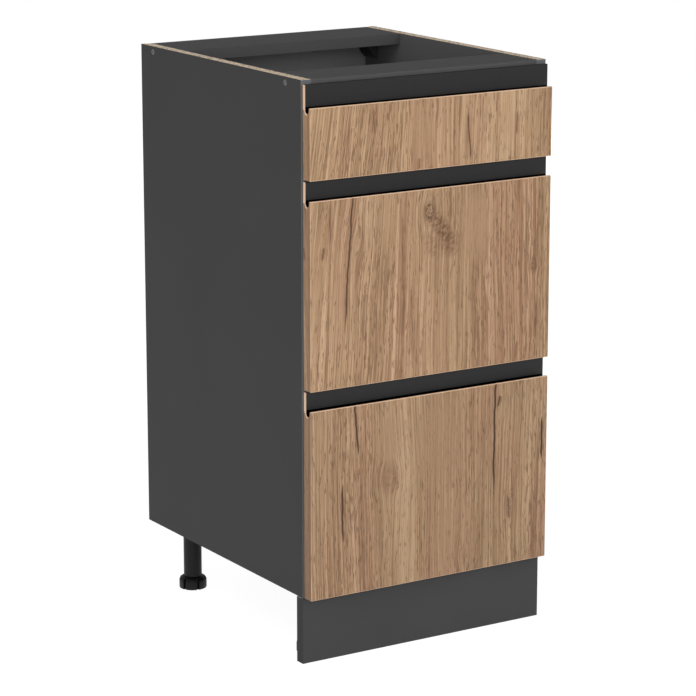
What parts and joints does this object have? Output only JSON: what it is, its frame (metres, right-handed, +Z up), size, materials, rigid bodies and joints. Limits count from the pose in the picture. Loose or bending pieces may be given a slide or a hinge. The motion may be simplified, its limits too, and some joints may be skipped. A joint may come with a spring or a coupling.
{
  "type": "base cabinet with drawers",
  "caption": "Handleless kitchen base cabinet whose drawers run on roller runners behind wood-effect fronts with milled J grips, on a plinth board and adjustable feet.",
  "frame": {"origin": "on the floor, under the middle of the whole cabinet with its fronts", "axes": "+Z up, the drawer fronts face -Y, +X to the right of someone who faces the fronts"},
  "size_m": [0.4, 0.4666, 0.816],
  "materials": {
    "anthracite_board": "melamine-faced chipboard, matt anthracite, light raw chipboard at the cut top edges",
    "oak_front": "wood-effect laminate with dark cracks and knots, vertical grain, matt",
    "hardboard": "hardboard with an anthracite face",
    "drawer_board": "light grey melamine-faced chipboard",
    "drawer_bottom": "white-faced hardboard",
    "black_plastic": "black moulded plastic",
    "white_nylon": "white nylon",
    "runner_steel": "white powder-coated sheet steel",
    "zinc_steel": "zinc-plated",
    "beech": "plain beech",
    "bumper_rubber": "soft grey pad"
  },
  "bodies": {
    "carcass": {"left_side_panel": "anthracite_board", "right_side_panel": "anthracite_board", "bottom_panel": "anthracite_board", "front_rail": "anthracite_board", "rear_rail": "anthracite_board", "back_panel": "hardboard", "back_panel_nails": "zinc_steel", "rail_screws": "zinc_steel", "carcass_dowels": "beech", "carcass_cam_fittings": "zinc_steel", "corner_brackets": "black_plastic", "plinth_board": "anthracite_board", "plinth_clips": "black_plastic", "leg_sockets": "black_plastic", "leg_tubes": "black_plastic", "cabinet_rail_screws": "zinc_steel", "upper_cabinet_rails": "runner_steel", "middle_cabinet_rails": "runner_steel", "lower_cabinet_rails": "runner_steel"},
    "upper_drawer": {"upper_drawer_front": "oak_front", "upper_drawer_left_side": "drawer_board", "upper_drawer_right_side": "drawer_board", "upper_drawer_back": "drawer_board", "upper_drawer_bottom": "drawer_bottom", "upper_drawer_rails": "runner_steel", "upper_drawer_cam_fittings": "zinc_steel", "upper_drawer_screws": "zinc_steel", "upper_drawer_bumpers": "bumper_rubber"},
    "upper_cabinet_rollers": {"upper_cabinet_rollers": "white_nylon"},
    "upper_drawer_rollers": {"upper_drawer_rollers": "white_nylon"},
    "middle_drawer": {"middle_drawer_front": "oak_front", "middle_drawer_left_side": "drawer_board", "middle_drawer_right_side": "drawer_board", "middle_drawer_back": "drawer_board", "middle_drawer_bottom": "drawer_bottom", "middle_drawer_rails": "runner_steel", "middle_drawer_cam_fittings": "zinc_steel", "middle_drawer_screws": "zinc_steel", "middle_drawer_bumpers": "bumper_rubber"},
    "middle_cabinet_rollers": {"middle_cabinet_rollers": "white_nylon"},
    "middle_drawer_rollers": {"middle_drawer_rollers": "white_nylon"},
    "lower_drawer": {"lower_drawer_front": "oak_front", "lower_drawer_left_side": "drawer_board", "lower_drawer_right_side": "drawer_board", "lower_drawer_back": "drawer_board", "lower_drawer_bottom": "drawer_bottom", "lower_drawer_rails": "runner_steel", "lower_drawer_cam_fittings": "zinc_steel", "lower_drawer_screws": "zinc_steel", "lower_drawer_bumpers": "bumper_rubber"},
    "lower_cabinet_rollers": {"lower_cabinet_rollers": "white_nylon"},
    "lower_drawer_rollers": {"lower_drawer_rollers": "white_nylon"},
    "front_left_foot": {"front_left_foot": "black_plastic"},
    "front_right_foot": {"front_right_foot": "black_plastic"},
    "rear_left_foot": {"rear_left_foot": "black_plastic"},
    "rear_right_foot": {"rear_right_foot": "black_plastic"}
  },
  "joints": [
    {"name": "upper_drawer_slide", "type": "slide", "parent": "carcass", "child": "upper_drawer", "axis": [0, -1, 0], "range_m": [0, 0.3015]},
    {"name": "upper_cabinet_rollers_spin", "type": "hinge", "parent": "carcass", "child": "upper_cabinet_rollers", "pos_m": [0, -0.19975, 0.6955], "axis": [1, 0, 0], "range_deg": [0, 1920]},
    {"name": "upper_drawer_rollers_spin", "type": "hinge", "parent": "upper_drawer", "child": "upper_drawer_rollers", "pos_m": [0, 0.17425, 0.6975], "axis": [1, 0, 0], "range_deg": [0, 1920]},
    {"name": "middle_drawer_slide", "type": "slide", "parent": "carcass", "child": "middle_drawer", "axis": [0, -1, 0], "range_m": [0, 0.3015]},
    {"name": "middle_cabinet_rollers_spin", "type": "hinge", "parent": "carcass", "child": "middle_cabinet_rollers", "pos_m": [0, -0.19975, 0.422], "axis": [1, 0, 0], "range_deg": [0, 1920]},
    {"name": "middle_drawer_rollers_spin", "type": "hinge", "parent": "middle_drawer", "child": "middle_drawer_rollers", "pos_m": [0, 0.17425, 0.424], "axis": [1, 0, 0], "range_deg": [0, 1920]},
    {"name": "lower_drawer_slide", "type": "slide", "parent": "carcass", "child": "lower_drawer", "axis": [0, -1, 0], "range_m": [0, 0.3015]},
    {"name": "lower_cabinet_rollers_spin", "type": "hinge", "parent": "carcass", "child": "lower_cabinet_rollers", "pos_m": [0, -0.19975, 0.1255], "axis": [1, 0, 0], "range_deg": [0, 1920]},
    {"name": "lower_drawer_rollers_spin", "type": "hinge", "parent": "lower_drawer", "child": "lower_drawer_rollers", "pos_m": [0, 0.17425, 0.1275], "axis": [1, 0, 0], "range_deg": [0, 1920]},
    {"name": "front_left_foot_height", "type": "slide", "parent": "carcass", "child": "front_left_foot", "axis": [0, 0, -1], "range_m": [0, 0.02]},
    {"name": "front_right_foot_height", "type": "slide", "parent": "carcass", "child": "front_right_foot", "axis": [0, 0, -1], "range_m": [0, 0.02]},
    {"name": "rear_left_foot_height", "type": "slide", "parent": "carcass", "child": "rear_left_foot", "axis": [0, 0, -1], "range_m": [0, 0.02]},
    {"name": "rear_right_foot_height", "type": "slide", "parent": "carcass", "child": "rear_right_foot", "axis": [0, 0, -1], "range_m": [0, 0.02]}
  ],
  "couplings": [
    {"joint": "upper_cabinet_rollers_spin", "follows": "upper_drawer_slide", "rad_per_m": 111.11},
    {"joint": "upper_drawer_rollers_spin", "follows": "upper_drawer_slide", "rad_per_m": 111.11},
    {"joint": "middle_cabinet_rollers_spin", "follows": "middle_drawer_slide", "rad_per_m": 111.11},
    {"joint": "middle_drawer_rollers_spin", "follows": "middle_drawer_slide", "rad_per_m": 111.11},
    {"joint": "lower_cabinet_rollers_spin", "follows": "lower_drawer_slide", "rad_per_m": 111.11},
    {"joint": "lower_drawer_rollers_spin", "follows": "lower_drawer_slide", "rad_per_m": 111.11}
  ]
}
